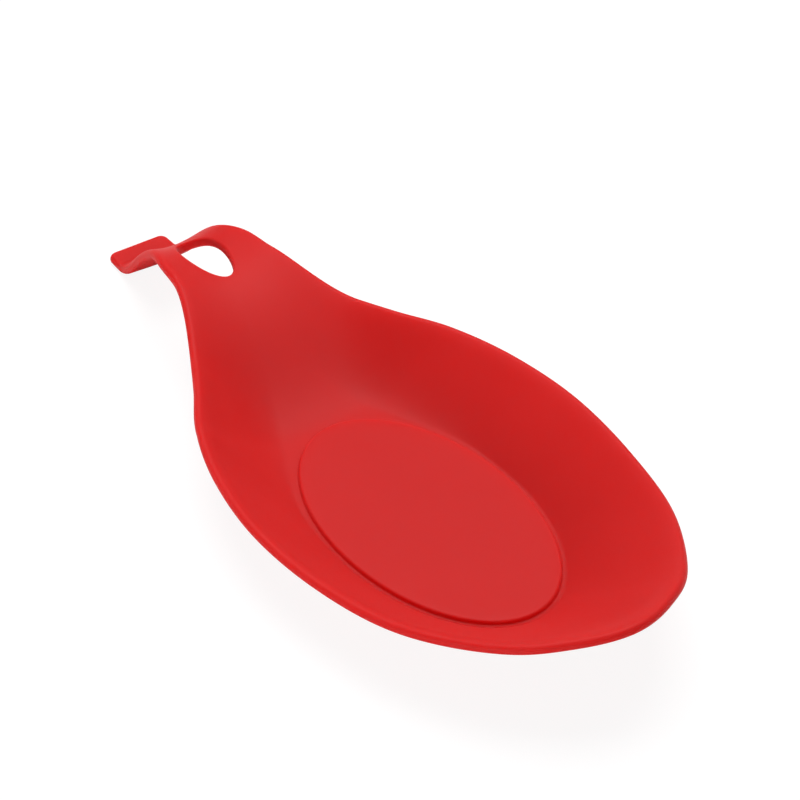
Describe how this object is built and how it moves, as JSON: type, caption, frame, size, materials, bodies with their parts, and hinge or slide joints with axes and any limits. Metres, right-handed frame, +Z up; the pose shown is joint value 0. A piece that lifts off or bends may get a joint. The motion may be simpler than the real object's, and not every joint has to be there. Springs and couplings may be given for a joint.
{
  "type": "spoon rest",
  "caption": "Flexible almond-shaped spoon rest with a raised oval floor, a rounded lip, an arched neck with a hanging hole and a flat foot tab.",
  "frame": {"origin": "middle of the length and width, at the face it stands on", "axes": "+X from the foot tab to the tip of the bowl, +Z up, alike on both sides of the XZ plane"},
  "size_m": [0.1951, 0.0828, 0.0252],
  "materials": {
    "silicone": "satin"
  },
  "bodies": {
    "root": {"spoon_rest": "silicone"}
  },
  "joints": []
}
